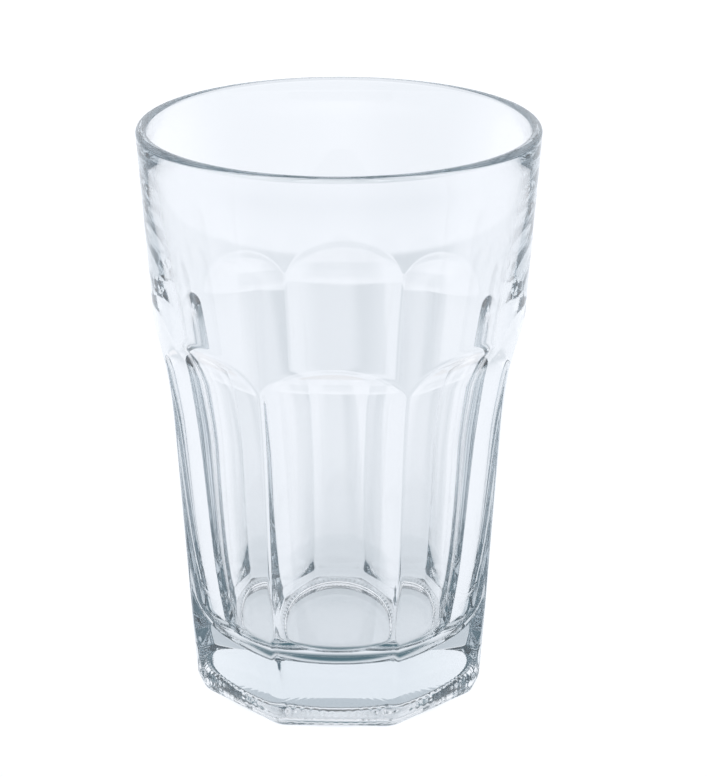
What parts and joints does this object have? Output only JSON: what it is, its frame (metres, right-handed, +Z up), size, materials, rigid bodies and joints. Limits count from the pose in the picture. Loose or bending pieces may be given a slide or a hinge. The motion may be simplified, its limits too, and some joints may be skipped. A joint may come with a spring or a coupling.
{
  "type": "highball glass",
  "caption": "Tall pressed glass tumbler: round band under a rounded lip, arch-topped scooped flats running down to a faceted foot, thick floor and a recessed underside.",
  "frame": {"origin": "on the glass's axis, in the plane of the ring that it stands on", "axes": "+Z up along the glass's axis, towards the mouth; one flat faces -Y"},
  "size_m": [0.0844, 0.0844, 0.125],
  "materials": {
    "clear_glass": "clear fire-polished soda-lime glass with a faint cool tint in the thick places"
  },
  "bodies": {
    "root": {"tumbler": "clear_glass"}
  },
  "joints": []
}
